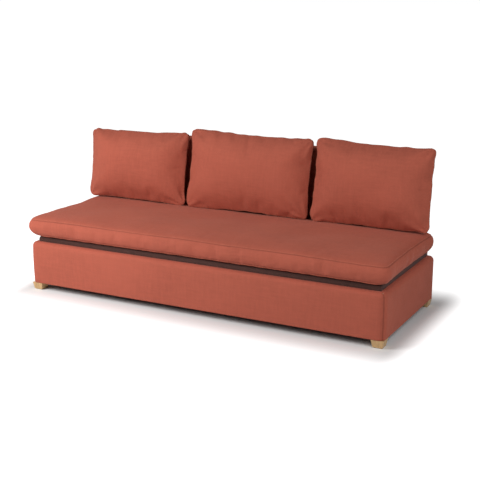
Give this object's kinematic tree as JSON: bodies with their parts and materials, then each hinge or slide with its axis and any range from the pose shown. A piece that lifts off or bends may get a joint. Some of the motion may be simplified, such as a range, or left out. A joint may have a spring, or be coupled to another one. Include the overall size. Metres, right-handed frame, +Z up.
{
  "type": "upholstered banquette",
  "caption": "Long armless upholstered banquette: padded base on short wooden feet, a full-depth loose seat cushion and loose back cushions leaning on a low back panel.",
  "frame": {"origin": "on the floor, under the middle of the piece's box", "axes": "+X along the seat to the right, +Y from front to back, +Z up"},
  "size_m": [2.1, 0.799, 0.8625],
  "materials": {
    "rust_fabric": "matte",
    "frame_wood": "matte",
    "foot_wood": "satin",
    "board": "matte",
    "steel": "satin",
    "webbing": "matte",
    "felt": "matte",
    "foam": "matte",
    "fibre": "matte",
    "lining": "matte",
    "zip_tape": "matte",
    "glide": "matte"
  },
  "bodies": {
    "base": {"front_rail": "frame_wood", "rear_rail": "frame_wood", "left_end_rail": "frame_wood", "right_end_rail": "frame_wood", "cross_rails": "frame_wood", "corner_blocks": "frame_wood", "deck_long_boards": "frame_wood", "deck_short_boards": "frame_wood", "frame_screws": "steel", "webbing_straps": "webbing", "deck_pad": "felt", "deck_cloth": "lining", "front_foam": "foam", "left_end_foam": "foam", "right_end_foam": "foam", "front_cover": "rust_fabric", "left_end_cover": "rust_fabric", "right_end_cover": "rust_fabric", "rear_cover": "rust_fabric", "dust_cover": "lining", "foot_front_left": "foot_wood", "foot_front_right": "foot_wood", "foot_rear_left": "foot_wood", "foot_rear_right": "foot_wood", "foot_bolts": "steel", "foot_inserts": "steel", "foot_glides": "glide", "back_post_left": "frame_wood", "back_post_right": "frame_wood", "back_inner_posts": "frame_wood", "back_top_rail": "frame_wood", "back_bottom_rail": "frame_wood", "back_bolts": "steel", "back_nuts": "steel", "back_board": "board", "back_foam": "foam", "inside_back_cover": "rust_fabric", "outside_back_cover": "rust_fabric"},
    "seat": {"seat_cushion": "rust_fabric", "seat_cushion_core": "foam", "seat_cushion_zip": "zip_tape"},
    "cushion_left": {"back_cushion_left": "rust_fabric", "back_cushion_left_core": "fibre", "back_cushion_left_zip": "zip_tape"},
    "cushion_centre": {"back_cushion_centre": "rust_fabric", "back_cushion_centre_core": "fibre", "back_cushion_centre_zip": "zip_tape"},
    "cushion_right": {"back_cushion_right": "rust_fabric", "back_cushion_right_core": "fibre", "back_cushion_right_zip": "zip_tape"}
  },
  "joints": [
    {"name": "seat_lift", "type": "slide", "parent": "base", "child": "seat", "axis": [0, 0, 1], "range_m": [0, 0.56]},
    {"name": "back_cushion_left_lift", "type": "slide", "parent": "seat", "child": "cushion_left", "axis": [0, 0, 1], "range_m": [0, 0.43]},
    {"name": "back_cushion_centre_lift", "type": "slide", "parent": "seat", "child": "cushion_centre", "axis": [0, 0, 1], "range_m": [0, 0.43]},
    {"name": "back_cushion_right_lift", "type": "slide", "parent": "seat", "child": "cushion_right", "axis": [0, 0, 1], "range_m": [0, 0.43]}
  ]
}
